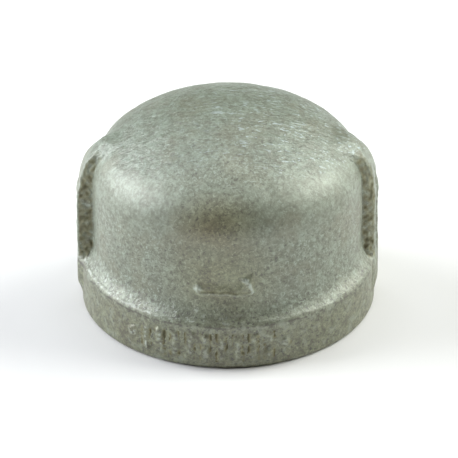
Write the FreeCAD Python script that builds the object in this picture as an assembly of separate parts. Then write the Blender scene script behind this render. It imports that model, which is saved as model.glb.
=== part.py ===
"""Malleable iron pipe cap, NPS 1/2, Class 150, standing on its mouth.

The cap is one casting. It is written here as the closed solids that the casting is made up of:
the domed crown, the plain wall, the thick band round the mouth, the two wrench ribs, the trimmed
gate stub, the raised foundry marks, and the tapped ring that carries the pipe thread.
They meet face to face, and none of them moves.

Frame: millimetres, origin at the centre of the mouth's face, +Z up towards the crown,
wrench ribs on the +X and -X sides, gate stub and marks on the -Y side.
"""
import FreeCAD
import Part
import math
import os

Vec = FreeCAD.Vector
TOLERANCE = 1e-6

# Outside of the casting
BAND_RADIUS = 15.2            # reinforcing band round the mouth
BAND_HEIGHT = 5.4
WALL_RADIUS = 14.0            # plain wall above the band
CAP_HEIGHT = 22.3             # mouth face to the top of the crown
CROWN_RADIUS = 19.6           # large arc over the top
SHOULDER_RADIUS = 5.3         # arc from the crown into the wall
CROWN_THICKNESS = 2.8         # metal at the top of the crown
FOOT_EDGE = 0.45              # rounding of the band's lower edge
LEDGE_START = (15.2, 4.7)     # (radius, height) where the band's upper edge starts to round over
LEDGE_THROUGH = (15.1, 5.15)
LEDGE_END = (14.75, 5.4)      # where the rounding meets the fillet
FILLET_THROUGH = (14.2, 6.35)
FILLET_TOP = 7.5              # height at which the fillet has become plain wall

# Inside of the casting
CAVITY_RADIUS = 11.0
CAVITY_SHOULDER = 2.9
CAVITY_CROWN_RADIUS = 16.8
CROWN_SPLIT = 13.5            # height at which the crown takes over from the wall

# Wrench ribs
RIB_WIDTH = 3.0
RIB_EDGE = 0.4                # rounding of the rib's long edges
RIB_RADIUS = 15.6             # outer face, which also stands a little proud of the band
RIB_FOOT = (15.2, 0.9)        # (radius, height) where the rib rises out of the band
RIB_FOOT_TOP = 2.8            # height at which it has reached its full radius
RIB_RIDGE_TOP = 12.5          # height at which it starts to lean in over the shoulder
RIB_FADE_PROUD = 0.72         # how far it stands proud where it starts to sink into the crown
RIB_FADE_ANGLE = 41.0         # degrees round the shoulder at which that is
RIB_END_RADIUS = 10.5         # distance from the axis at which the rib has sunk into the crown
RIB_FADE_RISE = 0.24          # how far the sinking part bows up from a straight slope

# Pipe thread, 1/2-14 NPT, tapped in a straight hole
PITCH = 25.4 / 14
TAPER = 1 / 32                # change of radius per unit of length
FLANK_ANGLE = 30.0            # degrees between a flank and the square to the axis
HOLE_RADIUS = 9.2             # straight hole, which leaves the crests flat
ROOT_RADIUS = 10.55           # bottom of the groove at the mouth face
ROOT_FLAT = 0.10
HALF_OPENING = 0.49 * PITCH   # half the groove's width where it opens, so that turns stay apart
THREAD_LENGTH = 12.0
RING_SECTORS = 12             # the ring's faces are split this often, so a crest's face stays short
TAP_OVERRUN = 1.5 * PITCH     # how far the groove is swept past each end of the ring
MOUTH_CHAMFER_RADIUS = 10.85

# Gate stub, where the casting was broken off its runner and trimmed
GATE_WIDTH = 6.2
GATE_BOTTOM = 8.05
GATE_TOP = 9.6
GATE_PROUD = 0.32
GATE_ANGLE = -1.5             # degrees from -Y towards +X
GATE_EDGE = 0.25              # rounding of the pad's front edges
GATE_BLANK_DEPTH = 3.0        # before trimming to the wall

# Raised foundry marks on the band: plain upright bars with a round dot at each end
MARK_COUNT = 11
MARK_STEP = 6.2               # degrees between neighbours
MARK_CENTRE = -9.0            # degrees from -Y towards +X
MARK_WIDTH = 0.6
MARK_LOW = 1.1
MARK_HIGH = 4.0
MARK_PROUD = 0.3
DOT_RADIUS = 0.55
MARK_BLANK_DEPTH = 1.5        # before trimming to the band


def arc(start, middle, end):
    """A circular edge through three points of a section, each given as (radius, height)."""
    return Part.Arc(*(Vec(r, 0, z) for r, z in (start, middle, end))).toShape()


def line(start, end):
    """A straight edge between two points of a section, each given as (radius, height)."""
    return Part.makeLine(Vec(start[0], 0, start[1]), Vec(end[0], 0, end[1]))


def turned(edges):
    """The solid made by turning a closed section about the Z axis."""
    return Part.Face(Part.Wire(edges)).revolve(Vec(0, 0, 0), Vec(0, 0, 1), 360)


def on_circle(centre, radius, degrees):
    """A point on a section's circle, with the angle counted up from the horizontal."""
    turn = math.radians(degrees)
    return (centre[0] + radius * math.cos(turn), centre[1] + radius * math.sin(turn))


def arc_off_upright(start, end):
    """An arc that leaves an upright edge smoothly at start and bends inwards to end."""
    inwards = start[0] - end[0]
    rise = end[1] - start[1]
    radius = (inwards ** 2 + rise ** 2) / (2 * inwards)
    centre = (start[0] - radius, start[1])
    full_turn = math.degrees(math.atan2(rise, end[0] - centre[0]))
    return arc(start, on_circle(centre, radius, full_turn / 2), end)


class DomeSection:
    """A wall that rises straight, turns in round a shoulder arc and closes with a crown arc."""

    def __init__(self, wall_radius, apex, shoulder_radius, crown_radius):
        inset = wall_radius - shoulder_radius
        rise = math.sqrt((crown_radius - shoulder_radius) ** 2 - inset ** 2)
        self.shoulder_radius = shoulder_radius
        self.crown_centre = (0.0, apex - crown_radius)
        self.crown_radius = crown_radius
        self.shoulder_centre = (inset, apex - crown_radius + rise)
        self.join_angle = math.degrees(math.atan2(rise, inset))
        self.wall_top = (wall_radius, self.shoulder_centre[1])
        self.join = on_circle(self.shoulder_centre, shoulder_radius, self.join_angle)
        self.apex = (0.0, apex)

    def edges_up(self):
        """The shoulder and the crown, from the top of the wall to the apex."""
        half_shoulder = on_circle(self.shoulder_centre, self.shoulder_radius, self.join_angle / 2)
        half_crown = on_circle(self.crown_centre, self.crown_radius, (self.join_angle + 90) / 2)
        return [arc(self.wall_top, half_shoulder, self.join), arc(self.join, half_crown, self.apex)]

    def crown_height(self, radius):
        """The height of the crown arc at a distance from the axis."""
        return self.crown_centre[1] + math.sqrt(self.crown_radius ** 2 - radius ** 2)


OUTSIDE = DomeSection(WALL_RADIUS, CAP_HEIGHT, SHOULDER_RADIUS, CROWN_RADIUS)
INSIDE = DomeSection(
    CAVITY_RADIUS, CAP_HEIGHT - CROWN_THICKNESS, CAVITY_SHOULDER, CAVITY_CROWN_RADIUS
)


def corner_round(corner, radius, towards_x, towards_z):
    """A quarter round at a square corner: (start on the level side, middle, end on the upright)."""
    centre = (corner[0] + towards_x * radius, corner[1] + towards_z * radius)
    middle = (
        centre[0] - towards_x * radius * math.sqrt(0.5),
        centre[1] - towards_z * radius * math.sqrt(0.5),
    )
    return (centre[0], corner[1]), middle, (corner[0], centre[1])


def ledge_edge():
    """The rounding of the band's upper outer edge."""
    return arc(LEDGE_START, LEDGE_THROUGH, LEDGE_END)


def fillet_edge():
    """The hollow fillet that runs from the band's ledge up into the plain wall."""
    return arc(LEDGE_END, FILLET_THROUGH, (WALL_RADIUS, FILLET_TOP))


def mouth_band():
    """The thick ring round the mouth, with both outer edges rounded."""
    foot = corner_round((BAND_RADIUS, 0), FOOT_EDGE, -1, 1)
    return turned([
        line((CAVITY_RADIUS, 0), foot[0]),
        arc(*foot),
        line(foot[2], LEDGE_START),
        ledge_edge(),
        line(LEDGE_END, (CAVITY_RADIUS, BAND_HEIGHT)),
        line((CAVITY_RADIUS, BAND_HEIGHT), (CAVITY_RADIUS, 0)),
    ])


def body_wall():
    """The plain wall between the band and the crown, with the fillet at its foot."""
    return turned([
        line((CAVITY_RADIUS, BAND_HEIGHT), LEDGE_END),
        fillet_edge(),
        line((WALL_RADIUS, FILLET_TOP), (WALL_RADIUS, CROWN_SPLIT)),
        line((WALL_RADIUS, CROWN_SPLIT), (CAVITY_RADIUS, CROWN_SPLIT)),
        line((CAVITY_RADIUS, CROWN_SPLIT), (CAVITY_RADIUS, BAND_HEIGHT)),
    ])


def crown():
    """The domed closed end, hollow inside."""
    return turned([
        line((CAVITY_RADIUS, CROWN_SPLIT), (WALL_RADIUS, CROWN_SPLIT)),
        line((WALL_RADIUS, CROWN_SPLIT), OUTSIDE.wall_top),
        *OUTSIDE.edges_up(),
        line(OUTSIDE.apex, INSIDE.apex),
        *reversed(INSIDE.edges_up()),
        line(INSIDE.wall_top, (CAVITY_RADIUS, CROWN_SPLIT)),
    ])


def casting_envelope():
    """The outside of band, wall and crown as one filled solid, for trimming what stands on it."""
    return turned([
        line((0, 0), (BAND_RADIUS, 0)),
        line((BAND_RADIUS, 0), LEDGE_START),
        ledge_edge(),
        fillet_edge(),
        line((WALL_RADIUS, FILLET_TOP), OUTSIDE.wall_top),
        *OUTSIDE.edges_up(),
        line(OUTSIDE.apex, (0, 0)),
    ])


def wrench_rib(envelope):
    """The rib on the +X side: out of the band, over the shoulder, and down into the crown."""
    centre = OUTSIDE.shoulder_centre
    foot_top = (RIB_RADIUS, RIB_FOOT_TOP)
    ridge_start = (RIB_RADIUS, RIB_RIDGE_TOP)
    ridge_end = on_circle(centre, SHOULDER_RADIUS + RIB_FADE_PROUD, RIB_FADE_ANGLE)
    sunk = (RIB_END_RADIUS, OUTSIDE.crown_height(RIB_END_RADIUS))
    fade_middle = (
        (ridge_end[0] + sunk[0]) / 2,
        (ridge_end[1] + sunk[1]) / 2 + RIB_FADE_RISE,
    )
    inner_foot = (RIB_END_RADIUS, RIB_FOOT[1])
    section = Part.Face(Part.Wire([
        line(inner_foot, RIB_FOOT),
        arc_off_upright(foot_top, RIB_FOOT),
        line(foot_top, ridge_start),
        arc_off_upright(ridge_start, ridge_end),
        arc(ridge_end, fade_middle, sunk),
        line(sunk, inner_foot),
    ]))
    section.translate(Vec(0, -RIB_WIDTH / 2, 0))
    blank = section.extrude(Vec(0, RIB_WIDTH, 0))

    def stands_proud(edge):
        middle = edge.valueAt((edge.FirstParameter + edge.LastParameter) / 2)
        return not envelope.isInside(middle, TOLERANCE, True)

    proud_edges = [
        edge for edge in blank.Edges
        if edge.BoundBox.YLength < TOLERANCE and stands_proud(edge)
    ]
    return blank.makeFillet(RIB_EDGE, proud_edges).cut(envelope)


def gate_stub(envelope):
    """The low flat pad left on the -Y side where the gate was trimmed off."""
    pad = Part.makeBox(
        GATE_WIDTH, GATE_BLANK_DEPTH, GATE_TOP - GATE_BOTTOM,
        Vec(-GATE_WIDTH / 2, -WALL_RADIUS - GATE_PROUD, GATE_BOTTOM),
    )
    front_edges = [edge for edge in pad.Edges if edge.BoundBox.YMax < -WALL_RADIUS]
    pad = pad.makeFillet(GATE_EDGE, front_edges)
    pad.rotate(Vec(0, 0, 0), Vec(0, 0, 1), GATE_ANGLE)
    return pad.cut(envelope)


def foundry_marks(envelope):
    """Upright bars in a row on the band, with a round dot at each end of the row."""
    reach = BAND_RADIUS + MARK_PROUD
    middle_height = (MARK_LOW + MARK_HIGH) / 2
    marks = []
    for index in range(MARK_COUNT):
        if index in (0, MARK_COUNT - 1):
            mark = Part.makeCylinder(
                DOT_RADIUS, MARK_BLANK_DEPTH, Vec(0, -reach, middle_height), Vec(0, 1, 0)
            )
        else:
            mark = Part.makeBox(
                MARK_WIDTH, MARK_BLANK_DEPTH, MARK_HIGH - MARK_LOW,
                Vec(-MARK_WIDTH / 2, -reach, MARK_LOW),
            )
        degrees = MARK_CENTRE + (index - (MARK_COUNT - 1) / 2) * MARK_STEP
        mark.rotate(Vec(0, 0, 0), Vec(0, 0, 1), degrees)
        marks.append(mark.cut(envelope))
    return Part.makeCompound(marks)


def thread_cutter():
    """The space that the tap sweeps: a 60 degree groove that winds up and slowly inwards.

    The helix is laid out from its narrow end, then turned over so that the wide end is at the
    mouth. Turning it over leaves it right-handed.
    """
    narrow_height = THREAD_LENGTH + TAP_OVERRUN
    narrow_radius = ROOT_RADIUS - TAPER * narrow_height
    half_root = ROOT_FLAT / 2
    groove_depth = (HALF_OPENING - half_root) / math.tan(math.radians(FLANK_ANGLE))
    path = Part.makeLongHelix(
        PITCH, THREAD_LENGTH + 2 * TAP_OVERRUN, narrow_radius, math.degrees(math.atan(TAPER))
    )
    corners = [
        Vec(narrow_radius, 0, -half_root),
        Vec(narrow_radius, 0, half_root),
        Vec(narrow_radius - groove_depth, 0, HALF_OPENING),
        Vec(narrow_radius - groove_depth, 0, -HALF_OPENING),
    ]
    groove = Part.makePolygon(corners + corners[:1])
    cutter = Part.Wire(path.Edges).makePipeShell([groove], True, True)
    cutter.rotate(Vec(0, 0, 0), Vec(1, 0, 0), 180)
    cutter.translate(Vec(0, 0, narrow_height))
    return cutter


def thread_ring():
    """The ring inside band and wall that the tapered thread is cut in."""
    chamfer_depth = MOUTH_CHAMFER_RADIUS - HOLE_RADIUS
    section = Part.Face(Part.Wire([
        line((MOUTH_CHAMFER_RADIUS, 0), (CAVITY_RADIUS, 0)),
        line((CAVITY_RADIUS, 0), (CAVITY_RADIUS, THREAD_LENGTH)),
        line((CAVITY_RADIUS, THREAD_LENGTH), (HOLE_RADIUS, THREAD_LENGTH)),
        line((HOLE_RADIUS, THREAD_LENGTH), (HOLE_RADIUS, chamfer_depth)),
        line((HOLE_RADIUS, chamfer_depth), (MOUTH_CHAMFER_RADIUS, 0)),
    ]))
    sector_degrees = 360 / RING_SECTORS
    sectors = []
    for index in range(RING_SECTORS):
        sector = section.revolve(Vec(0, 0, 0), Vec(0, 0, 1), sector_degrees)
        sector.rotate(Vec(0, 0, 0), Vec(0, 0, 1), index * sector_degrees)
        sectors.append(sector)
    ring = sectors[0].multiFuse(sectors[1:])
    return ring.cut(thread_cutter())


def main():
    """Build every node and write each one to its own STEP file."""
    envelope = casting_envelope()
    rib_right = wrench_rib(envelope)
    nodes = {
        "crown": crown(),
        "body_wall": body_wall(),
        "mouth_band": mouth_band(),
        "wrench_rib_right": rib_right,
        "wrench_rib_left": rib_right.mirror(Vec(0, 0, 0), Vec(1, 0, 0)),
        "gate_stub": gate_stub(envelope),
        "foundry_marks": foundry_marks(envelope),
        "thread_ring": thread_ring(),
    }
    os.makedirs("parts", exist_ok=True)
    for name, shape in nodes.items():
        shape.exportStep(f"parts/{name}.step")
        print(f"{name}: {len(shape.Solids)} solid(s), {shape.Volume:.1f} mm3, valid {shape.isValid()}")


main()
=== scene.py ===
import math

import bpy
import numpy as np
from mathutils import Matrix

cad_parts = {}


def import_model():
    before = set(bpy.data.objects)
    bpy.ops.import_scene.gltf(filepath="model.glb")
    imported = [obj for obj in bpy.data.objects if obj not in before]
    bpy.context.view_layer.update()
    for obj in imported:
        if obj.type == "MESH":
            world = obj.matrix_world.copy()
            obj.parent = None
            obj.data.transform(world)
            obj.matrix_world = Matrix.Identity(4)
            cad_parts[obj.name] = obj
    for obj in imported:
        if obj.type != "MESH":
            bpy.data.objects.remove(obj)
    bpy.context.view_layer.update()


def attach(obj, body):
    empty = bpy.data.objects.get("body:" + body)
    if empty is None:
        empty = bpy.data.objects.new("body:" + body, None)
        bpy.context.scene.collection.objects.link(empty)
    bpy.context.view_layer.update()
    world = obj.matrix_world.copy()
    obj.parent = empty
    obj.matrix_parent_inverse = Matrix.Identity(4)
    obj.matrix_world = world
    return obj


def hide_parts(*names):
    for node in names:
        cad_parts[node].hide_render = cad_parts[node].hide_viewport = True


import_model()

# Looks of a galvanised malleable iron pipe cap that stands on its mouth.
#
# Every piece is worked out in millimetres, in the CAD's own frame, and written to Blender in
# metres. The casting's outside is one section turned about the Z axis and moved in and out by
# seeded noise, the same for every piece, so neighbours meet exactly and the finish runs on
# across them.

MM = 0.001

# Outside of the casting, in mm. A pair is (radius, height).
BAND_RADIUS = 15.2
BAND_TOP = 5.4
WALL_RADIUS = 14.0
CAP_HEIGHT = 22.3
CROWN_RADIUS = 19.6
SHOULDER_RADIUS = 5.3
FOOT_EDGE = 0.45
LEDGE_START = (BAND_RADIUS, 4.7)
LEDGE_THROUGH = (15.1, 5.15)
LEDGE_END = (14.75, BAND_TOP)
FILLET_THROUGH = (14.2, 6.35)
FILLET_TOP = (WALL_RADIUS, 7.5)
CROWN_SPLIT = 13.5             # height at which the wall piece ends and the crown begins
SIDE_FROM = WALL_RADIUS - 0.5  # beyond this radius a section is on the cap's side

# Inside of the casting
CAVITY_RADIUS = 11.0
CAVITY_SHOULDER = 2.9
CAVITY_APEX = 19.5
CAVITY_CROWN_RADIUS = 16.8
CAVITY_TOP_ANGLE = 89.2        # degrees up the crown's arc; one point closes the rest
BAND_INNER_LOW = 0.3           # the band's lowest inner row above the mouth's face

# Thread, 1/2-14 NPT
PITCH = 25.4 / 14
TAPER = 1 / 32                 # on the radius, so 1 in 16 on the diameter
HOLE_RADIUS = 9.2
ROOT_RADIUS = 10.55
ROOT_HALF_FLAT = 0.05
FLANK_ANGLE = 60.0
THREAD_LENGTH = 12.0
RUN_OUT_LENGTH = 2.2
RUN_OUT_DEPTH = 1.3
MOUTH_CHAMFER_RADIUS = 10.85

# Ribs
RIB_HALF_WIDTH = 1.5
RIB_RADIUS = 15.6
RIB_FOOT = 0.9                 # height at which the ridge leaves the band
RIB_FOOT_TOP = 2.8             # height from which it stands at its full radius
RIB_RIDGE_TOP = 12.5           # height from which it leans in
RIB_SHOULDER_PROUD = 1.35      # how proud it stands where the shoulder starts
RIB_FADE_PROUD = 0.72          # how proud it stands where it starts to die away
RIB_FADE_ANGLE = 41.0          # degrees round the shoulder at which it starts to die away
RIB_END_ANGLE = 71.0           # and at which it is gone
RIB_SUNK = 0.35                # depth under the skin at which a rib is closed

# Gate stub and marks. Angles are in degrees from -Y towards +X.
GATE_ANGLE = -1.5
GATE_BOTTOM = 8.05
GATE_TOP = 9.6
GATE_HALF_WIDTH = 3.1
GATE_PROUD = 0.32
SCAR_BOTTOM = 5.3              # the dressed fillet below the gate
SCAR_TOP = 8.2
SCAR_PROUD = 0.15
MARK_COUNT = 11                # the dot at each end and the bars between them
MARK_STEP = 6.2
MARK_CENTRE = -9.0
MARK_PROUD = 0.3
BAR_HALF_WIDTH = 0.46
BAR_HEIGHTS = (1.1, 4.0)
DOT_RADIUS = 0.62
DOT_HEIGHTS = (1.95, 3.15)
PATCH_SUNK = 0.4               # depth under the skin at which stub and marks are closed

# Zinc that ran along the ledge, and the folds on the crown. The folds run along X and lie
# where height + FOLD_SLOPE * abs(x) is above FOLD_LOW.
ZINC_RUN_HEIGHT = 5.32
ZINC_RUN_PROUD = 0.07
FOLD_SLOPE = 0.28
FOLD_LOW = 20.2
FOLD_RISE = 1.4                # mm over which they come in

# Mesh density. The steps are in mm.
COLUMNS = 560                  # vertices round the axis
THREAD_COLUMNS = 360           # the same round the thread
ROWS_PER_TURN = 22             # rows of vertices across one pitch of the thread
FINE_STEP = 0.04               # between the points with which a section is first drawn
SECTION_STEP = 0.13            # between the outer rows
LEDGE_STEP = 0.065             # the same round the ledge, between the next two heights
LEDGE_LOW = 4.6
LEDGE_HIGH = 6.6
INNER_STEP = 0.5               # between the inner rows of wall and crown
BAND_INNER_STEP = 0.6          # between the inner rows of the band
RIDGE_COLUMNS = 10             # columns across half of a rib's ridge
FLANK_COLUMNS = 34             # and from there to its edge
GATE_COLUMNS = 110
GATE_LIP_ROWS = 20             # rows over the gate stub's lower edge
GATE_WALL_ROWS = 36            # and above it
MARK_COLUMNS = 24
MARK_ROWS = 42
TURNED_CREASE = 38.0           # degrees between faces from which an edge stays sharp
PATCH_CREASE = 60.0            # the same on ribs, stub and marks

GALVANISED = "galvanised_iron"
TAPPED = "tapped_iron"


# ---------------------------------------------------------------- numbers

def smooth(x):
    """0 below 0, 1 above 1, and a smooth rise between."""
    x = np.clip(x, 0.0, 1.0)
    return x * x * (3.0 - 2.0 * x)


def peak(x, width):
    """1 where x is 0, falling smoothly to 0 at width on either side."""
    return smooth(1 - np.abs(x) / width)


class Noise:
    """Seeded gradient noise over space, about -1 to 1."""

    SIZE = 64
    SHIFT = 1000.5             # cells, so that no lattice point lies on the axis
    SPREAD = 1.6               # brings the sum to about -1 to 1

    def __init__(self, seed):
        directions = np.random.default_rng(seed).normal(size=(self.SIZE,) * 3 + (3,))
        self.slopes = directions / np.linalg.norm(directions, axis=-1, keepdims=True)

    def __call__(self, points, spacing):
        """The noise at points of shape (..., 3) in mm, with lumps about spacing mm apart."""
        scaled = points / np.asarray(spacing, dtype=float) + self.SHIFT
        cell = np.floor(scaled).astype(int)
        inside = scaled - cell
        blend = inside ** 3 * (inside * (inside * 6 - 15) + 10)
        total = np.zeros(points.shape[:-1])
        for corner in np.ndindex(2, 2, 2):
            offset = np.array(corner)
            index = (cell + offset) % self.SIZE
            slope = self.slopes[index[..., 0], index[..., 1], index[..., 2]]
            weight = np.prod(np.where(offset == 1, blend, 1 - blend), axis=-1)
            total += weight * np.sum(slope * (inside - offset), axis=-1)
        return total * self.SPREAD


LUMPS = Noise(11)
RIPPLES = Noise(23)
PITS = Noise(37)


def cast(points):
    """How far the skin stands off its ideal surface, in mm, as poured metal does."""
    lumps = 0.075 * LUMPS(points, 5.0) + 0.032 * RIPPLES(points, 1.9)
    fine = 0.014 * PITS(points, (0.9, 0.9, 0.6))
    radius = np.hypot(points[..., 0], points[..., 1])
    level = points[..., 2] + FOLD_SLOPE * np.abs(points[..., 0])
    on_dome = smooth((level - FOLD_LOW) / FOLD_RISE) * smooth((radius - 1.0) / 3.0)
    folds = 0.036 * PITS(points + 8.0, (1.7, 0.5, 0.5))
    return (lumps + fine + folds * on_dome) * smooth(points[..., 2] / 0.9)


# ---------------------------------------------------------------- sections

def straight(start, end):
    """Points along a straight part of a section."""
    count = max(2, int(math.dist(start, end) / FINE_STEP) + 1)
    return np.linspace(start, end, count)


def arc(centre, radius, from_degrees, to_degrees):
    """Points along a round part of a section."""
    length = radius * math.radians(abs(to_degrees - from_degrees))
    count = max(4, int(length / FINE_STEP) + 1)
    turn = np.radians(np.linspace(from_degrees, to_degrees, count))
    return np.stack([centre[0] + radius * np.cos(turn), centre[1] + radius * np.sin(turn)], axis=1)


def arc_through(start, middle, end):
    """Points along the arc through three points."""
    (ax, ay), (bx, by), (cx, cy) = start, middle, end
    a_squared, b_squared, c_squared = ax**2 + ay**2, bx**2 + by**2, cx**2 + cy**2
    divisor = 2 * (ax * (by - cy) + bx * (cy - ay) + cx * (ay - by))
    centre = (
        (a_squared * (by - cy) + b_squared * (cy - ay) + c_squared * (ay - by)) / divisor,
        (a_squared * (cx - bx) + b_squared * (ax - cx) + c_squared * (bx - ax)) / divisor,
    )
    first, half, last = (
        math.degrees(math.atan2(y - centre[1], x - centre[0])) for x, y in (start, middle, end)
    )
    half = first + (half - first + 180) % 360 - 180
    last = half + (last - half + 180) % 360 - 180
    return arc(centre, math.dist(centre, start), first, last)


def joined(parts):
    """Parts of a section as one run, without the doubled points between them."""
    return np.concatenate([parts[0]] + [part[1:] for part in parts[1:]])


def resampled(run, step):
    """The run with points about step apart."""
    travelled = np.r_[0, np.cumsum(np.linalg.norm(np.diff(run, axis=0), axis=1))]
    count = max(2, int(round(travelled[-1] / step)) + 1)
    at = np.linspace(0, travelled[-1], count)
    return np.stack([np.interp(at, travelled, run[:, axis]) for axis in (0, 1)], axis=1)


def softened(run, low, high, width):
    """The run with its corners eased between two heights."""
    run = resampled(run, FINE_STEP)
    reach = int(3 * width / FINE_STEP)
    kernel = np.exp(-0.5 * (np.arange(-reach, reach + 1) * FINE_STEP / width) ** 2)
    kernel /= kernel.sum()
    padded = np.pad(run, ((reach, reach), (0, 0)), mode="edge")
    eased = np.stack([np.convolve(padded[:, axis], kernel, mode="valid") for axis in (0, 1)], axis=1)
    share = smooth((run[:, 1] - low) / 0.5) * smooth((high - run[:, 1]) / 0.5)
    share *= run[:, 0] > SIDE_FROM
    return run + (eased - run) * share[:, None]


def outward(run):
    """Unit normals of a run, on the right-hand side of the way it goes."""
    along = np.gradient(run, axis=0)
    normal = np.stack([along[:, 1], -along[:, 0]], axis=1)
    return normal / np.linalg.norm(normal, axis=1, keepdims=True)


def dome(wall_radius, apex, shoulder_radius, crown_radius):
    """(shoulder centre, crown centre height, join angle) of a wall that closes with two arcs."""
    inset = wall_radius - shoulder_radius
    rise = math.sqrt((crown_radius - shoulder_radius) ** 2 - inset ** 2)
    crown_centre = apex - crown_radius
    return (inset, crown_centre + rise), crown_centre, math.degrees(math.atan2(rise, inset))


SHOULDER_CENTRE, CROWN_CENTRE, JOIN_ANGLE = dome(
    WALL_RADIUS, CAP_HEIGHT, SHOULDER_RADIUS, CROWN_RADIUS
)
CAVITY_CENTRE, CAVITY_CROWN_CENTRE, CAVITY_JOIN = dome(
    CAVITY_RADIUS, CAVITY_APEX, CAVITY_SHOULDER, CAVITY_CROWN_RADIUS
)


def outer_run():
    """The outside of the casting, from the inner edge of the mouth's face to the apex."""
    foot_centre = (BAND_RADIUS - FOOT_EDGE, FOOT_EDGE)
    run = joined([
        straight((CAVITY_RADIUS, 0), (foot_centre[0], 0)),
        arc(foot_centre, FOOT_EDGE, -90, 0),
        straight((BAND_RADIUS, FOOT_EDGE), LEDGE_START),
        arc_through(LEDGE_START, LEDGE_THROUGH, LEDGE_END),
        arc_through(LEDGE_END, FILLET_THROUGH, FILLET_TOP),
        straight(FILLET_TOP, (WALL_RADIUS, SHOULDER_CENTRE[1])),
        arc(SHOULDER_CENTRE, SHOULDER_RADIUS, 0, JOIN_ANGLE),
        arc((0, CROWN_CENTRE), CROWN_RADIUS, JOIN_ANGLE, 90),
    ])
    run = softened(run, low=4.0, high=8.4, width=0.13)
    on_ledge = (run[:, 1] > LEDGE_LOW) & (run[:, 1] < LEDGE_HIGH) & (run[:, 0] > SIDE_FROM)
    first = int(np.argmax(on_ledge))
    last = len(on_ledge) - int(np.argmax(on_ledge[::-1]))
    return joined([
        resampled(run[:first + 1], SECTION_STEP),
        resampled(run[first:last], LEDGE_STEP),
        resampled(run[last - 1:], SECTION_STEP),
    ])


OUTER = outer_run()
OUTER_NORMAL = outward(OUTER)
OUTER_NORMAL[0] = (0, -1)
OUTER_NORMAL[-1] = (0, 1)


# ---------------------------------------------------------------- skin

def turned(run, angles):
    """Points (rows, columns, 3) of a run turned to each angle, counted from +X.

    The angles are one row for the whole run, or a row for each of its points.
    """
    cosine, sine = np.cos(angles), np.sin(angles)
    radius, height = run[:, 0:1], run[:, 1:2]
    return np.stack([radius * cosine, radius * sine, height * np.ones_like(cosine)], axis=-1)


def gate_scar(points):
    """Extra metal below the gate, where the fillet was dressed off, in mm."""
    across = np.degrees(np.arctan2(points[..., 0], -points[..., 1])) - GATE_ANGLE
    across = np.abs(np.radians(across) * WALL_RADIUS) + 0.25 * RIPPLES(points, 1.4)
    side = smooth((GATE_HALF_WIDTH + 0.4 - across) / 1.1)
    height = points[..., 2]
    hollow = smooth((height - SCAR_BOTTOM) / 0.9) * smooth((SCAR_TOP - height) / 1.6)
    return SCAR_PROUD * side * hollow * (points[..., 1] < 0)


def zinc_run(points):
    """The thin bead where zinc ran along the ledge, here and there, in mm."""
    flat = points * (1.0, 1.0, 0.0)
    there = smooth(0.35 + 1.6 * LUMPS(flat + 12.0, 4.0))
    above = points[..., 2] - (ZINC_RUN_HEIGHT + 0.10 * RIPPLES(flat, 1.5))
    return ZINC_RUN_PROUD * there * np.exp(-(above / np.where(above > 0, 0.45, 0.10)) ** 2)


def skin_lift(points):
    """Everything by which the skin stands off its ideal surface, in mm."""
    return cast(points) + gate_scar(points) + zinc_run(points)


def skin(run, normal, angles):
    """The points of the cast skin over a run with ideal normals."""
    base = turned(run, angles)
    return base + turned(normal, angles) * skin_lift(base)[..., None]


ANGLES = np.arange(COLUMNS) * (2 * math.pi / COLUMNS)


# ---------------------------------------------------------------- meshes

def add_piece(name, vertices, faces, slot, nodes, tone=None, crease=TURNED_CREASE):
    """A closed mesh in the scene that stands for the CAD nodes.

    The tone at a vertex is above 0 where bare metal and painted highlights make the zinc paler, and
    below 0 where grime and painted shade make it darker.
    """
    mesh = bpy.data.meshes.new(name)
    mesh.from_pydata((np.asarray(vertices) * MM).tolist(), [], faces)
    mesh.shade_smooth()
    mesh.set_sharp_from_angle(angle=math.radians(crease))
    if tone is not None:
        layer = mesh.attributes.new("tone", "FLOAT", "POINT")
        layer.data.foreach_set("value", np.asarray(tone, dtype=np.float32))
    mesh.materials.append(FINISH[slot])
    piece = bpy.data.objects.new(name, mesh)
    bpy.context.scene.collection.objects.link(piece)
    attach(piece, "root")
    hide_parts(*nodes)


def ring_faces(rows, columns, wrap_rows):
    """Quads between neighbouring rows. The columns join up round the axis."""
    count = rows if wrap_rows else rows - 1
    row = np.arange(count)[:, None]
    column = np.arange(columns)[None, :]
    upper = (row + 1) % rows
    beside = (column + 1) % columns
    quads = np.stack([
        row * columns + column, row * columns + beside,
        upper * columns + beside, upper * columns + column,
    ], axis=-1)
    return quads.reshape(-1, 4)


def ring_piece(name, rows, slot, node):
    """A piece shaped like a ring: rows of points that go once round its section."""
    faces = ring_faces(rows.shape[0], rows.shape[1], True).tolist()
    add_piece(name, rows.reshape(-1, 3), faces, slot, (node,))


def cup_piece(name, rows, first, last, slot, node):
    """A piece closed by a single point at each end of its rows."""
    count, columns = rows.shape[:2]
    faces = ring_faces(count, columns, False).tolist()
    first_index = count * columns
    last_index = first_index + 1
    final_row = (count - 1) * columns
    for column in range(columns):
        beside = (column + 1) % columns
        faces.append((first_index, beside, column))
        faces.append((last_index, final_row + column, final_row + beside))
    vertices = np.concatenate([rows.reshape(-1, 3), [first, last]])
    add_piece(name, vertices, faces, slot, (node,))


def rim_loop(rows, columns):
    """The index of each point on a grid's rim, once round it."""
    rim = (
        [(0, column) for column in range(columns - 1)]
        + [(row, columns - 1) for row in range(rows - 1)]
        + [(rows - 1, column) for column in range(columns - 1, 0, -1)]
        + [(row, 0) for row in range(rows - 1, 0, -1)]
    )
    return [row * columns + column for row, column in rim]


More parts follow.
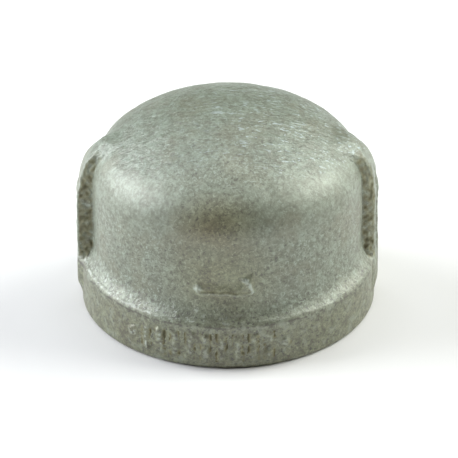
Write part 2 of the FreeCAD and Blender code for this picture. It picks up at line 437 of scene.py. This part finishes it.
def patch_piece(name, tops, bottoms, tones, slot, node):
    """A piece, or several in one mesh, each closed from a top grid and a bottom grid of points.

    There is a tone for each point of the tops. The bottoms lie inside the casting and get 0.
    """
    vertices, faces, values = [], [], []
    start = 0
    for top, bottom, tone in zip(tops, bottoms, tones):
        rows, columns = top.shape[:2]
        size = rows * columns
        row = np.arange(rows - 1)[:, None]
        column = np.arange(columns - 1)[None, :]
        corner = start + row * columns + column
        quads = np.stack([corner, corner + 1, corner + columns + 1, corner + columns], axis=-1)
        quads = quads.reshape(-1, 4)
        faces += quads.tolist()
        faces += (quads[:, ::-1] + size).tolist()
        loop = [start + place for place in rim_loop(rows, columns)]
        for here, beyond in zip(loop, loop[1:] + loop[:1]):
            faces.append((here, here + size, beyond + size, beyond))
        vertices += [top.reshape(-1, 3), bottom.reshape(-1, 3)]
        values += [tone.ravel(), np.zeros(size)]
        start += 2 * size
    add_piece(
        name, np.concatenate(vertices), faces, slot, (node,), np.concatenate(values), PATCH_CREASE
    )


# ---------------------------------------------------------------- materials

class Nodes:
    """Short names for building a shader."""

    def __init__(self, name):
        self.material = bpy.data.materials.new(name)
        self.material.use_nodes = True
        self.tree = self.material.node_tree
        self.shader = self.tree.nodes["Principled BSDF"]
        coordinates = self.tree.nodes.new("ShaderNodeTexCoord")
        self.place = self.vector("SCALE", coordinates.outputs["Object"], scale=1 / MM)

    def link(self, source, socket):
        """Sets a socket to a number or a tuple, or joins another node's output to it."""
        if isinstance(source, (int, float, tuple)):
            socket.default_value = source
        else:
            self.tree.links.new(source, socket)

    def surface(self, name, source):
        """Sets or joins one of the shader's own sockets."""
        self.link(source, self.shader.inputs[name])

    def vector(self, operation, first, second=None, scale=None, output="Vector"):
        """Vector arithmetic."""
        node = self.tree.nodes.new("ShaderNodeVectorMath")
        node.operation = operation
        self.link(first, node.inputs[0])
        if second is not None:
            self.link(second, node.inputs[1])
        if scale is not None:
            self.link(scale, node.inputs["Scale"])
        return node.outputs[output]

    def math(self, operation, first, second=0.0, clamp=False):
        """Arithmetic with numbers. clamp keeps the result between 0 and 1."""
        node = self.tree.nodes.new("ShaderNodeMath")
        node.operation = operation
        node.use_clamp = clamp
        self.link(first, node.inputs[0])
        self.link(second, node.inputs[1])
        return node.outputs[0]

    def plus(self, first, second):
        """The sum of two values."""
        return self.math("ADD", first, second)

    def minus(self, first, second, clamp=False):
        """The first value less the second."""
        return self.math("SUBTRACT", first, second, clamp)

    def times(self, first, second, clamp=False):
        """The product of two values."""
        return self.math("MULTIPLY", first, second, clamp)

    def absolute(self, value):
        """The value without its sign."""
        return self.math("ABSOLUTE", value)

    def noise(self, size, detail=2.0, rough=0.5, stretch=(1, 1, 1), offset=0.0, distort=0.0):
        """Noise with lumps about size mm across, 0 to 1, mostly near 0.5."""
        node = self.tree.nodes.new("ShaderNodeTexNoise")
        place = self.vector("MULTIPLY_ADD", self.place, tuple(1 / s for s in stretch))
        place.node.inputs[2].default_value = (offset, offset * 0.7, offset * 1.3)
        self.link(place, node.inputs["Vector"])
        node.inputs["Scale"].default_value = 1 / size
        node.inputs["Detail"].default_value = detail
        node.inputs["Roughness"].default_value = rough
        node.inputs["Distortion"].default_value = distort
        return node.outputs["Fac"]

    def ramp(self, value, low, high, to_low=0.0, to_high=1.0):
        """The value mapped smoothly from low..high to to_low..to_high, and held beyond."""
        node = self.tree.nodes.new("ShaderNodeMapRange")
        node.interpolation_type = "SMOOTHSTEP"
        self.link(value, node.inputs["Value"])
        self.link(low, node.inputs["From Min"])
        self.link(high, node.inputs["From Max"])
        self.link(to_low, node.inputs["To Min"])
        self.link(to_high, node.inputs["To Max"])
        return node.outputs["Result"]

    def share(self, value, low, high, strength):
        """The value mapped smoothly from low..high to 0..1, times a strength."""
        return self.times(self.ramp(value, low, high), strength)

    def mix(self, factor, first, second, blend="MIX"):
        """The first colour with the second laid over it."""
        node = self.tree.nodes.new("ShaderNodeMix")
        node.data_type = "RGBA"
        node.blend_type = blend
        self.link(factor, node.inputs["Factor"])
        self.link(first, node.inputs["A"])
        self.link(second, node.inputs["B"])
        return node.outputs["Result"]

    def stain(self, factor, colour, stain):
        """The colour darkened by a thin stain."""
        return self.mix(factor, colour, stain, blend="MULTIPLY")

    def bump(self, height, distance, normal=None):
        """A bump whose height of 1 stands distance mm proud."""
        node = self.tree.nodes.new("ShaderNodeBump")
        node.inputs["Strength"].default_value = 1.0
        node.inputs["Distance"].default_value = distance * MM
        self.link(height, node.inputs["Height"])
        if normal is not None:
            self.link(normal, node.inputs["Normal"])
        return node.outputs["Normal"]

    def near(self, centre, reach):
        """1 at a place in mm, falling to 0 at the reach along each axis."""
        away = self.vector("DIVIDE", self.vector("SUBTRACT", self.place, centre), reach)
        return self.ramp(self.vector("LENGTH", away, output="Value"), 1.0, 0.1)

    def attribute(self, name):
        """A number that the mesh holds for each vertex, or 0 where it holds none."""
        node = self.tree.nodes.new("ShaderNodeAttribute")
        node.attribute_name = name
        return node.outputs["Fac"]

    def coordinate(self, axis):
        """The place along an axis, in mm."""
        node = self.tree.nodes.new("ShaderNodeSeparateXYZ")
        self.link(self.place, node.inputs[0])
        return node.outputs[axis]


def rgb(red, green, blue):
    """An 8-bit sRGB colour as linear RGBA."""
    def linear(value):
        value /= 255
        return value / 12.92 if value <= 0.04045 else ((value + 0.055) / 1.055) ** 2.4
    return (linear(red), linear(green), linear(blue), 1.0)


class Galvanised(Nodes):
    """Dull hot-dip zinc over sand-cast iron: green-grey mottling, fine grain, grime and painted shade in
    hollows, and painted highlights.

    The constructor makes the noises and masks that several effects share. Left is towards -X.
    """

    def __init__(self):
        super().__init__("galvanised_iron_look")
        self.mottle = self.noise(0.6, 4.0, 0.65, distort=0.4)
        self.grain = self.noise(0.32, 3.0, 0.66, offset=9.0, distort=0.9)
        self.wrinkle = self.noise(0.26, 2.0, 0.5, stretch=(4.0, 1, 1), offset=5.0, distort=0.7)
        self.clouds = self.noise(1.7, 3.0, 0.6, offset=14.0, distort=0.5)
        self.blotch = self.noise(0.8, 3.0, 0.6, offset=31.0, distort=0.4)
        self.height = self.coordinate("Z")
        self.aside = self.coordinate("X")
        self.low = self.ramp(self.height, 8.5, 4.5)
        self.fillet = self.times(self.low, self.ramp(self.height, 5.0, 5.6))
        # Front of the shoulder: a brownish stain that is partly painted shade for a dark reflection
        # there
        self.brown_and_shade = self.near((-1.3, -13.6, 16.3), (6.2, 5.0, 4.0))
        level = self.plus(self.height, self.times(self.absolute(self.aside), FOLD_SLOPE))
        self.on_dome = self.ramp(level, FOLD_LOW, FOLD_LOW + FOLD_RISE)
        # The tone carries grime and painted shade below 0, and bare metal and painted highlights above 0
        tone = self.attribute("tone")
        self.grime_and_shade = self.times(tone, -1.0, clamp=True)
        self.deep_grime_and_shade = self.minus(self.times(tone, -1.0), 0.9, clamp=True)
        self.polish_and_highlight = self.times(tone, 1.0, clamp=True)

    def mottled(self):
        """The zinc itself. Its grain is weaker on shoulder and dome, and stronger low down."""
        on_shoulder = self.times(self.ramp(self.height, 12.5, 15.0), self.ramp(self.height, 19.5, 18.0))
        strength = self.minus(0.95, self.times(on_shoulder, 0.4))
        strength = self.plus(strength, self.times(self.low, 0.4))
        strength = self.plus(strength, self.times(self.brown_and_shade, 0.6))
        strength = self.minus(strength, self.times(self.on_dome, 0.2), clamp=True)
        patches = self.noise(4.5, 3.0, 0.55, offset=3.0)
        colour = self.mix(self.ramp(self.mottle, 0.32, 0.68), rgb(99, 104, 82), rgb(130, 140, 120))
        for noise, low, high, amount, tint in (
            (self.clouds, 0.52, 0.66, 0.35, rgb(138, 150, 132)),
            (self.clouds, 0.46, 0.34, 0.45, rgb(88, 88, 62)),
            (patches, 0.48, 0.68, 0.5, rgb(110, 108, 80)),
            (self.grain, 0.51, 0.70, strength, rgb(152, 165, 150)),
            (self.grain, 0.49, 0.30, strength, rgb(58, 56, 36)),
        ):
            colour = self.mix(self.share(noise, low, high, amount), colour, tint)
        return colour

    def streaked_highlights(self, colour):
        """Painted highlights, pale and thin, along the dome's folds, fewer at the left, and a slightly
        cooler, darker tint over the dome.
        """
        # Painted highlights on the folds' crests, stronger towards +X
        fold_highlights = self.times(self.ramp(self.wrinkle, 0.58, 0.66), self.ramp(self.clouds, 0.40, 0.56))
        fold_highlights = self.times(fold_highlights, self.ramp(self.aside, -6.0, 4.0, 0.15, 1.0))
        colour = self.mix(self.times(fold_highlights, self.on_dome), colour, rgb(176, 188, 186))
        return self.stain(self.on_dome, colour, rgb(237, 241, 241))

    def stained_and_shaded(self, colour):
        """Brown patina on the front of the wall, and a brownish stain on the front of the shoulder that
        is partly painted shade for the dark reflection there.
        """
        on_wall = self.near((-0.6, -13.8, 10.0), (8.5, 6.0, 7.5))
        colour = self.stain(on_wall, colour, rgb(250, 240, 207))
        # Painted shade with a brownish tint where the shoulder's front reflects dark surroundings
        return self.stain(self.brown_and_shade, colour, rgb(253, 235, 203))

    def speckled(self, colour):
        """Pale spots low down, and dark pits, most of them low down too."""
        speck = self.noise(0.36, 2.0, 0.5, offset=21.0)
        spots = self.share(speck, 0.57, 0.68, self.times(self.low, 0.45))
        colour = self.mix(spots, colour, rgb(150, 160, 144))
        pits = self.share(speck, 0.40, 0.29, self.plus(self.times(self.low, 0.8), 0.1))
        return self.mix(pits, colour, rgb(44, 42, 28))

    def blotched(self, colour):
        """A yellower band, with pale and dark blotches."""
        colour = self.stain(self.ramp(self.height, 6.5, 3.5), colour, rgb(228, 220, 190))
        on_band = self.ramp(self.height, 5.4, 4.9)
        pale = self.share(self.blotch, 0.53, 0.66, self.times(on_band, 0.6))
        colour = self.mix(pale, colour, rgb(134, 142, 122))
        dark = self.share(self.blotch, 0.46, 0.33, self.times(on_band, 0.7))
        return self.mix(dark, colour, rgb(70, 66, 34))

    def dashed(self, colour):
        """Painted highlights: short upright glints on the fillet, most of them at the left, over painted
        shade that darkens the fillet's left a little.
        """
        on_fillet = self.times(self.fillet, self.ramp(self.height, 7.6, 6.4))
        leftward = self.ramp(self.aside, 2.0, -6.0, 0.35, 1.0)
        # Painted shade: the fillet a little darker towards the left, where the light falls on it
        colour = self.stain(self.times(leftward, on_fillet), colour, rgb(236, 237, 233))
        dash = self.noise(0.28, 1.0, 0.5, stretch=(1, 1, 3.2), offset=27.0, distort=0.3)
        # Painted glints
        painted_glints = self.share(dash, 0.60, 0.72, leftward)
        return self.mix(self.times(painted_glints, on_fillet), colour, rgb(168, 177, 163))

    def edged(self, colour):
        """Painted shade, broken, in the crease along the ledge, and a painted highlight, broken, on the
        zinc run above it, stronger at the left.
        """
        wavering = self.plus(self.height, self.times(self.minus(self.clouds, 0.5), 0.6))
        # Painted shade in the ledge's crease
        line = self.ramp(self.absolute(self.minus(wavering, 4.85)), 0.16, 0.03)
        line = self.times(line, self.ramp(self.blotch, 0.54, 0.46))
        colour = self.mix(self.times(line, 0.85), colour, rgb(56, 52, 28))
        # Painted highlight on the zinc run, brighter towards the left
        bead_highlight = self.ramp(self.absolute(self.minus(wavering, 5.28)), 0.15, 0.02)
        bead_highlight = self.times(bead_highlight, self.ramp(self.blotch, 0.50, 0.60))
        bead_highlight = self.times(bead_highlight, self.ramp(self.aside, 6.0, -7.0, 0.15, 0.6))
        return self.mix(bead_highlight, colour, rgb(180, 188, 176))

    def worn(self, colour):
        """Grime, dark spots and bare metal where the pieces' tones put them, together with painted shade
        and painted highlights.
        """
        # Grime, partly painted shade on the rib flanks and in the gate's groove
        colour = self.mix(self.times(self.grime_and_shade, 0.6), colour, rgb(124, 116, 64))
        # Painted shade in the gate's undercut and beside the marks, and the darkest grime and spots on
        # the ribs
        colour = self.mix(self.deep_grime_and_shade, colour, rgb(66, 60, 22))
        # Painted highlights on the gate's ends and lip, and pale worn tops on the marks
        return self.mix(self.times(self.polish_and_highlight, 0.75), colour, rgb(186, 197, 186))

    def gloss(self):
        """Dull metal under a milky coat, which is thinner in grime and painted shade."""
        rough = self.ramp(self.mottle, 0.3, 0.7, 0.62, 0.54)
        rough = self.plus(rough, self.times(self.grime_and_shade, 0.25))
        rough = self.minus(rough, self.times(self.polish_and_highlight, 0.2))
        bare = self.plus(self.times(self.grime_and_shade, 0.25), self.times(self.deep_grime_and_shade, 0.5))
        self.surface("Roughness", rough)
        self.surface("Metallic", 0.3)
        self.surface("Coat Weight", self.minus(1.0, bare, clamp=True))
        self.surface("Coat IOR", 1.9)
        self.surface("Coat Roughness", 0.56)

    def relief(self):
        """Grain on the metal, glints on the coat, and the dome's wrinkles on both."""
        wrinkles = self.times(self.minus(self.wrinkle, 0.5), self.plus(self.on_dome, 0.05))
        sparkle = self.times(self.grain, self.plus(self.times(self.fillet, 4.0), 1.0))
        metal = self.bump(wrinkles, 0.10, self.bump(self.mottle, 0.02))
        self.surface("Normal", self.bump(sparkle, 0.012, metal))
        glints = self.noise(0.34, 2.0, 0.55, offset=17.0, distort=0.6)
        coat = self.bump(self.times(glints, self.plus(self.fillet, 0.12)), 0.10)
        self.surface("Coat Normal", self.bump(wrinkles, 0.08, coat))


def galvanised():
    """The zinc-coated casting, from its plain colour to the marks, painted shade and painted highlights
    that lie over it.
    """
    zinc = Galvanised()
    colour = zinc.mottled()
    colour = zinc.streaked_highlights(colour)
    colour = zinc.stained_and_shaded(colour)
    colour = zinc.speckled(colour)
    colour = zinc.blotched(colour)
    colour = zinc.dashed(colour)
    colour = zinc.edged(colour)
    zinc.surface("Base Color", zinc.worn(colour))
    zinc.gloss()
    zinc.relief()
    return zinc.material


def tapped():
    """Bare iron left by the tap: darker than the zinc, with fine marks round the axis."""
    iron = Nodes("tapped_iron_look")
    marks = iron.noise(0.12, 2.0, 0.6, stretch=(30, 30, 1))
    stain = iron.noise(1.6, 4.0, 0.6, offset=4.0)
    colour = iron.mix(iron.ramp(stain, 0.4, 0.65), rgb(112, 108, 102), rgb(138, 132, 122))
    colour = iron.mix(iron.share(stain, 0.58, 0.74, 0.5), colour, rgb(110, 78, 52))
    iron.surface("Base Color", colour)
    iron.surface("Roughness", iron.ramp(marks, 0.3, 0.7, 0.3, 0.48))
    iron.surface("Metallic", 0.9)
    iron.surface("Normal", iron.bump(marks, 0.008))
    return iron.material


FINISH = {GALVANISED: galvanised(), TAPPED: tapped()}


# ---------------------------------------------------------------- casting

def nearest_row(height):
    """The outer row that is nearest to a height."""
    return int(np.argmin(np.abs(OUTER[:, 1] - height)))


def section_rows(first, last):
    """Rows of the outer skin between two of its indices."""
    return skin(OUTER[first:last + 1], OUTER_NORMAL[first:last + 1], ANGLES)


def inner_rows(run, depth=0.05):
    """Rows of an inner wall, uneven by about a depth."""
    run = resampled(run, INNER_STEP)
    base = turned(run, ANGLES)
    facing = turned(outward(run), ANGLES)
    return base + facing * (depth * LUMPS(base + 40.0, 3.0))[..., None]


def casting():
    """Band, wall and crown, each closed by the faces at which they meet."""
    band_end = nearest_row(BAND_TOP)
    wall_end = nearest_row(CROWN_SPLIT)
    band_height = OUTER[band_end, 1]
    split_height = OUTER[wall_end, 1]

    band_run = straight((CAVITY_RADIUS, band_height), (CAVITY_RADIUS, BAND_INNER_LOW))
    band_inner = turned(resampled(band_run, BAND_INNER_STEP), ANGLES)
    band_rows = np.concatenate([section_rows(0, band_end), band_inner])
    ring_piece("mouth_band_cast", band_rows, GALVANISED, "mouth_band")

    wall_run = straight((CAVITY_RADIUS, split_height), (CAVITY_RADIUS, band_height))
    wall_inner = inner_rows(wall_run, depth=0.0)
    wall_rows = np.concatenate([section_rows(band_end, wall_end), wall_inner])
    ring_piece("body_wall_cast", wall_rows, GALVANISED, "body_wall")

    cavity = inner_rows(joined([
        arc((0, CAVITY_CROWN_CENTRE), CAVITY_CROWN_RADIUS, CAVITY_TOP_ANGLE, CAVITY_JOIN),
        arc(CAVITY_CENTRE, CAVITY_SHOULDER, CAVITY_JOIN, 0),
        straight((CAVITY_RADIUS, CAVITY_CENTRE[1]), (CAVITY_RADIUS, split_height)),
    ]))
    cavity[-1] = wall_inner[0]  # the wall's own points, so the two pieces meet exactly
    crown_rows = np.concatenate([cavity, section_rows(wall_end, len(OUTER) - 2)])

    # One point closes the crown inside and one outside, in place of the section's last row
    inner_apex = np.array([0.0, 0.0, cavity[0, :, 2].mean()])
    apex = np.array([[0.0, 0.0, CAP_HEIGHT]])
    apex[0, 2] += cast(apex)[0]
    cup_piece("crown_cast", crown_rows, inner_apex, apex[0], GALVANISED, "crown")


def rib_path(outer_radius):
    """The rib's line on the skin.

    Returns section points, skin normals, the way the rib stands, how far it stands proud and the
    degrees round the shoulder.
    """
    radius, height = OUTER[:, 0], OUTER[:, 1]
    angle = np.degrees(np.arctan2(height - SHOULDER_CENTRE[1], radius - SHOULDER_CENTRE[0]))
    start = int(np.argmax(height >= RIB_FOOT))
    end = int(np.argmax(angle > RIB_END_ANGLE))
    run, normal, angle = OUTER[start:end + 1], OUTER_NORMAL[start:end + 1], angle[start:end + 1]
    upright = run[:, 1] <= SHOULDER_CENTRE[1]
    way = np.where(upright[:, None], (1.0, 0.0), normal)

    foot = 1.0 - smooth((run[:, 1] - RIB_FOOT) / (RIB_FOOT_TOP - RIB_FOOT))
    lean = smooth((run[:, 1] - RIB_RIDGE_TOP) / (SHOULDER_CENTRE[1] - RIB_RIDGE_TOP))
    lean *= outer_radius - WALL_RADIUS - RIB_SHOULDER_PROUD
    wall_proud = outer_radius - (outer_radius - BAND_RADIUS) * foot - lean - run[:, 0]
    steady = np.interp(angle, (0, RIB_FADE_ANGLE), (RIB_SHOULDER_PROUD, RIB_FADE_PROUD))
    dying = 1.0 - smooth((angle - RIB_FADE_ANGLE) / (RIB_END_ANGLE - RIB_FADE_ANGLE))
    proud = np.where(upright, wall_proud, steady * dying)
    return run, normal, way, proud[:, None], np.maximum(angle, 0)[:, None]


def rib(name, node, facing_angle, front, outer_radius, front_drop, fullness, spread, seed):
    """One wrench rib, blended into the skin along both sides, with rough flanks.

    The mould's halves met along the rib. front is the side of it (1 or -1) that lies towards -Y,
    and front_drop is how much lower that half stands. A fullness below 1 makes the flanks leave
    the wall sharply and round off above. spread is how much wider than usual they are, in mm.
    """
    run, normal, way, proud, angle = rib_path(outer_radius)
    height = run[:, 1:2]
    on_band = 1.0 - smooth((height - 4.4) / 1.3)
    below_shoulder = smooth((SHOULDER_CENTRE[1] + 1.5 - height) / 2.5)
    fading = smooth((angle - 24) / 20)

    # Flanks get wider on the band and where the rib dies away, and the patch reaches past them
    flank_width = 0.68 + 1.3 * spread + 0.7 * on_band + 1.2 * fading
    reach = RIB_HALF_WIDTH + 0.45 + spread + 0.9 * on_band + 0.5 * fading
    ridge_end = 0.45
    half_across = np.r_[np.linspace(0, ridge_end, RIDGE_COLUMNS)[:-1],
                        np.linspace(ridge_end, 1.0, FLANK_COLUMNS)]
    across = np.r_[-half_across[:0:-1], half_across][None, :] * reach
    turn = facing_angle + across / run[:, 0:1]
    base, out, stand = (turned(values, turn) for values in (run, normal, way))

    # The rib's own height over the skin, with edges that wander
    wander = 0.10 * RIPPLES(base + seed, 1.3) + 0.10 * PITS(base + seed, 0.55)
    side = (reach - 0.06 - np.abs(across) + wander) / flank_width
    share = smooth(side) ** fullness
    flank = smooth(4.0 * share * (1.0 - share) * 1.6)
    front_half = smooth((front * across + 0.12 + 0.25 * RIPPLES(base - seed, 1.1)) / 0.3)
    drop = front_drop * front_half * below_shoulder * (1 - on_band)
    rough = 1.0 + 0.05 * LUMPS(base + seed, 2.2) + 0.03 * PITS(base - seed, 0.6)
    lift = (proud - drop) * share * rough - 0.06 * smooth(0.25 - side * 4)
    surface = base + out * skin_lift(base)[..., None] + stand * lift[..., None]

    # Crumbs of sand left their shape in the flanks, and grime lies there, partly as painted shade
    crumbs = 0.10 * PITS(surface + seed, 0.45) + 0.05 * RIPPLES(surface + seed, 0.28)
    sideways = np.stack([-np.sin(turn), np.cos(turn), np.zeros_like(turn)], axis=-1)
    sideways = sideways * np.sign(across)[..., None]
    top = surface + sideways * (crumbs * flank * np.minimum(1, proud))[..., None]
    bottom = base - stand * RIB_SUNK
    # Grime and painted shade on the flanks, where the rib stands well proud and before it dies away
    grime_and_shade = flank * smooth((proud - 0.5) / 0.5) * (1 - on_band) * (1 - fading)
    grime_and_shade *= 0.9 + 1.3 * PITS(surface - seed, 0.6)
    # Dark spots low on the flanks
    low_end = np.exp(-((height - 7.0) / 0.6) ** 2) * smooth(3.0 * PITS(surface - seed, 0.7)) * flank
    patch_piece(name, [top], [bottom], [-grime_and_shade - 0.9 * low_end], GALVANISED, node)


def cylinder_grid(radius, angles, heights):
    """Points on a cylinder round the axis, and the way it faces at each of them."""
    run = np.stack([np.full(len(heights), radius), heights], axis=1)
    level = np.tile((1.0, 0.0), (len(heights), 1))
    return turned(run, angles), turned(level, angles)


def gate_stub():
    """The lip left where the gate was broken off: undercut below, blended into the wall above."""
    side_margin, lip_margin, top_margin = 0.5, 0.3, 1.2
    edge = GATE_HALF_WIDTH + side_margin
    across = np.linspace(-edge, edge, GATE_COLUMNS)
    lip_top = GATE_BOTTOM + lip_margin
    heights = np.r_[np.linspace(GATE_BOTTOM - lip_margin, lip_top, GATE_LIP_ROWS)[:-1],
                    np.linspace(lip_top, GATE_TOP + top_margin, GATE_WALL_ROWS)]
    angles = math.radians(GATE_ANGLE - 90) + across / WALL_RADIUS
    base, facing = cylinder_grid(WALL_RADIUS, angles, heights)
    x = across[None, :]
    z = heights[:, None]
    above = z - GATE_BOTTOM
    jag = 0.25 * RIPPLES(base, 1.2) + 0.12 * PITS(base, 0.5)
    sag = 0.3 * LUMPS(base * (1.0, 1.0, 0.0) + 5.0, 1.5)
    ragged = np.clip(0.8 + 1.3 * PITS(base, 0.3), 0.3, 1.0)

    # The lip and its groove, with a hook at the right and a broken end at each side
    hook = smooth((x - 1.6) / 0.7)
    low_edge = smooth((above + 0.10 + 0.25 * jag + sag - 0.18 * hook) / 0.13)
    high_edge = smooth((GATE_TOP + 0.9 * hook + jag - z) / (1.45 - 0.6 * hook))
    from_groove = above - 0.60 - 0.8 * jag + sag
    groove = 0.03 * peak(from_groove, 0.2) * smooth((2.6 - np.abs(x)) / 0.4)
    ends = smooth((GATE_HALF_WIDTH + 0.3 * jag - np.abs(x)) / 0.5)
    left_end = smooth(1.4 - np.hypot((x + 2.8) / 0.45, (above - 0.75) / 0.42))
    right_end = smooth(1.2 - np.abs(x - 2.5 + 0.55 * (above - 1.1) + 1.4 * jag) / 0.3)
    right_end = right_end * smooth((GATE_TOP + 0.6 - z) / 0.4) * smooth((above - 0.1) / 0.2)
    lift = GATE_PROUD * low_edge * high_edge * ends * (0.9 + 0.35 * jag)
    lift += 0.12 * left_end + 0.15 * right_end * ragged - groove * ends
    shown = low_edge * high_edge * ends + left_end + right_end
    lift -= 0.05 * smooth(0.3 - 6 * shown)
    top = base + facing * (skin_lift(base) + lift)[..., None]
    bottom = base - facing * PATCH_SUNK

    # Painted highlights on the ends and the lip, and painted shade in the undercut and the groove
    on_lip = peak(above - 0.24 - 0.4 * jag + sag, 0.16)
    tone = (left_end + right_end) * ragged + 0.35 * ends * on_lip * (0.6 + 2.0 * jag)
    tone -= 1.9 * ends * peak(above + 0.14 + 0.1 * jag + sag, 0.17)
    tone -= 0.4 * ends * peak(from_groove, 0.14)
    patch_piece("gate_stub_cast", [top], [bottom], [tone], GALVANISED, "gate_stub")


def foundry_marks():
    """Plain worn bars in a row on the band with a dot at each end."""
    margin = 0.35
    tops, bottoms, tones = [], [], []
    for index in range(MARK_COUNT):
        dot = index in (0, MARK_COUNT - 1)
        half_width = DOT_RADIUS if dot else BAR_HALF_WIDTH
        low, high = DOT_HEIGHTS if dot else BAR_HEIGHTS
        centre = math.radians(MARK_CENTRE + (index - (MARK_COUNT - 1) / 2) * MARK_STEP - 90)
        across = np.linspace(-half_width - margin, half_width + margin, MARK_COLUMNS)
        heights = np.linspace(low - margin, high + margin, MARK_ROWS)
        base, facing = cylinder_grid(BAND_RADIUS, centre + across / BAND_RADIUS, heights)
        x, z = across[None, :], heights[:, None]
        jag = 0.16 * RIPPLES(base, 0.9) + 0.10 * PITS(base, 0.4)
        if dot:
            inside = half_width - np.hypot(x, z - (low + high) / 2)
        else:
            inside = np.minimum(half_width - np.abs(x), np.minimum(z - low, high - z))
        share = smooth((inside + 0.22 + jag) / 0.62)
        worn = 0.55 + 1.1 * LUMPS(base + 7 * index, 1.6)
        lift = MARK_PROUD * share * np.clip(worn, 0.3, 1.0) - 0.03 * smooth(0.3 - 6 * share)
        tops.append(base + facing * (cast(base) + lift)[..., None])
        bottoms.append(base - facing * PATCH_SUNK)
        # Painted shade in the narrow gaps beside each bar and dot, broken here and there
        gap_shade = smooth(0.4 + 2.0 * LUMPS(base + 31.0, 1.3)) * smooth(0.8 + 1.6 * PITS(base, 0.5))
        gap_shade *= np.exp(-((np.abs(x) - half_width - 0.12 + 0.5 * jag) / 0.24) ** 2)
        pale = 0.75 if index < MARK_COUNT // 3 else 0.35
        tones.append(pale * smooth(4 * share - 3) * smooth(0.3 + 2 * PITS(base, 0.4)) - 1.8 * gap_shade)
    patch_piece("foundry_marks_cast", tops, bottoms, tones, GALVANISED, "foundry_marks")


def thread_ring():
    """The tapped ring: a right-hand 60 degree groove that narrows inwards and runs out."""
    angles = np.arange(THREAD_COLUMNS) * (2 * math.pi / THREAD_COLUMNS)
    turn = angles[None, :] / (2 * math.pi)
    turns = int(THREAD_LENGTH / PITCH) + 2
    steps = np.arange(turns * ROWS_PER_TURN + 1)[:, None] / ROWS_PER_TURN
    height = np.clip(PITCH * (steps - 1 + turn), 0, THREAD_LENGTH)
    phase = height / PITCH - turn
    from_root = np.abs((phase + 0.5) % 1.0 - 0.5) * PITCH
    run_out = RUN_OUT_DEPTH * smooth((height - (THREAD_LENGTH - RUN_OUT_LENGTH)) / RUN_OUT_LENGTH)
    groove = ROOT_RADIUS - TAPER * height - run_out
    groove = groove - np.maximum(0, from_root - ROOT_HALF_FLAT) / math.tan(math.radians(FLANK_ANGLE / 2))
    chamfer = MOUTH_CHAMFER_RADIUS - height
    radius = np.maximum(np.maximum(HOLE_RADIUS, groove), chamfer)
    inner = np.stack([radius * np.cos(angles), radius * np.sin(angles), height], axis=-1)
    back_run = np.array([(CAVITY_RADIUS, level) for level in (0.0, THREAD_LENGTH / 2, THREAD_LENGTH)])
    rows = np.concatenate([inner[::-1], turned(back_run, angles)])
    ring_piece("thread_ring_tapped", rows, TAPPED, "thread_ring")


casting()
rib("wrench_rib_right_cast", "wrench_rib_right", facing_angle=0.0, front=-1,
    outer_radius=RIB_RADIUS - 0.05, front_drop=0.25, fullness=0.5, spread=0.35, seed=3.0)
rib("wrench_rib_left_cast", "wrench_rib_left", facing_angle=math.pi, front=1,
    outer_radius=RIB_RADIUS + 0.1, front_drop=0.1, fullness=1.25, spread=0.0, seed=17.0)
gate_stub()
foundry_marks()
thread_ring()


# ---------------------------------------------------------------- studio

def floor():
    """A plain pale floor."""
    bpy.ops.mesh.primitive_plane_add(size=6.0)
    plane = bpy.context.object
    plane.name = "floor"
    material = bpy.data.materials.new("floor_white")
    material.use_nodes = True
    shader = material.node_tree.nodes["Principled BSDF"]
    shader.inputs["Base Color"].default_value = (0.81, 0.80, 0.80, 1)
    shader.inputs["Roughness"].default_value = 0.8
    shader.inputs["Specular IOR Level"].default_value = 0.2
    plane.data.materials.append(material)


def softbox(name, azimuth, elevation, power, tint, size=(0.65, 0.55), distance=0.8):
    """An area light that faces the cap from a direction in degrees. Lengths are in metres."""
    aim = np.array([0, 0, 0.01])
    turn, rise = math.radians(azimuth), math.radians(elevation)
    light = bpy.data.lights.new(name, "AREA")
    light.shape = "RECTANGLE"
    light.size, light.size_y = size
    light.energy = power
    light.color = tint
    lamp = bpy.data.objects.new(name, light)
    away = np.array([
        math.sin(turn) * math.cos(rise), -math.cos(turn) * math.cos(rise), math.sin(rise),
    ])
    lamp.location = away * distance + aim
    lamp.rotation_euler = (math.radians(90) - rise, 0, turn)
    bpy.context.scene.collection.objects.link(lamp)


def world(strength, tint):
    """Even light from all round."""
    sky = bpy.data.worlds.new("studio")
    sky.use_nodes = True
    background = sky.node_tree.nodes["Background"]
    background.inputs["Color"].default_value = (*tint, 1)
    background.inputs["Strength"].default_value = strength
    bpy.context.scene.world = sky


def camera():
    """A long lens at the photograph's viewing angle, held a touch off level."""
    elevation = math.radians(30.5)
    roll = math.radians(-0.4)
    distance = 0.608
    aim_height = 0.00768
    data = bpy.data.cameras.new("camera")
    data.lens = 460.6
    data.sensor_width = 36.0
    data.shift_x = 0.002
    data.clip_start = 0.01
    view = bpy.data.objects.new("camera", data)
    view.location = (0, -distance * math.cos(elevation), aim_height + distance * math.sin(elevation))
    level = Matrix.Rotation(math.radians(90) - elevation, 3, "X")
    view.rotation_euler = (level @ Matrix.Rotation(roll, 3, "Z")).to_euler()
    bpy.context.scene.collection.objects.link(view)
    bpy.context.scene.camera = view


floor()
world(0.055, (1.0, 0.94, 0.85))
softbox("left_softbox", -100, 28, 9.6, (0.965, 1.0, 1.04))
softbox("right_softbox", 105, 35, 8.4, (0.975, 1.0, 0.955))
softbox("top_softbox", 180, 74, 2.6, (0.96, 1.0, 1.01), size=(0.6, 0.5))
camera()
bpy.context.scene.view_settings.view_transform = "Standard"
